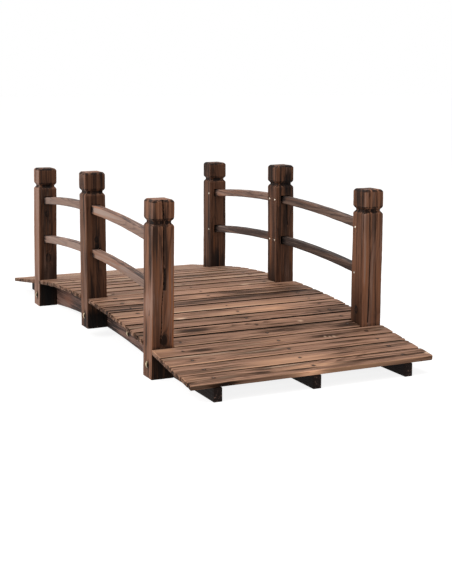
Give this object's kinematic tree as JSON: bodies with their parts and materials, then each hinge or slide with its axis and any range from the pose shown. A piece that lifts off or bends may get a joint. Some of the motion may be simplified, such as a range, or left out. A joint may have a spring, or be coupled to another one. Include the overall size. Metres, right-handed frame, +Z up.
{
  "type": "arched garden bridge",
  "caption": "Small arched wooden garden bridge: plank deck on curved stringers, grooved square posts and arched side rails let into them, in charred softwood with domed bolts.",
  "frame": {"origin": "on the ground under the middle of the deck", "axes": "+X along the walkway towards the near end, -Y the left side, +Z up"},
  "size_m": [1.5, 0.675, 0.4735],
  "materials": {
    "deck": "charred and brushed softwood, matt",
    "posts": "charred and brushed softwood, dark, matt",
    "rails": "charred and brushed softwood, matt",
    "stringers": "charred softwood, very dark, matt",
    "bolts": "yellow zinc plated, bright"
  },
  "bodies": {
    "root": {"far_apron_board_1": "deck", "far_apron_board_2": "deck", "far_apron_board_3": "deck", "far_apron_board_4": "deck", "far_bay_board_1": "deck", "far_bay_board_2": "deck", "far_bay_board_3": "deck", "far_bay_board_4": "deck", "far_bay_board_5": "deck", "far_bay_board_6": "deck", "far_bay_board_7": "deck", "far_left_lower_rail": "rails", "far_left_post": "posts", "far_left_upper_rail": "rails", "far_post_board": "deck", "far_right_lower_rail": "rails", "far_right_post": "posts", "far_right_upper_rail": "rails", "left_stringer": "stringers", "middle_left_post": "posts", "middle_post_board": "deck", "middle_right_post": "posts", "middle_stringer": "stringers", "near_apron_board_1": "deck", "near_apron_board_2": "deck", "near_apron_board_3": "deck", "near_apron_board_4": "deck", "near_bay_board_1": "deck", "near_bay_board_2": "deck", "near_bay_board_3": "deck", "near_bay_board_4": "deck", "near_bay_board_5": "deck", "near_bay_board_6": "deck", "near_bay_board_7": "deck", "near_left_lower_rail": "rails", "near_left_post": "posts", "near_left_upper_rail": "rails", "near_post_board": "deck", "near_right_lower_rail": "rails", "near_right_post": "posts", "near_right_upper_rail": "rails", "post_bolts": "bolts", "right_stringer": "stringers", "splice_bolts": "bolts", "splice_plates": "stringers"}
  },
  "joints": []
}
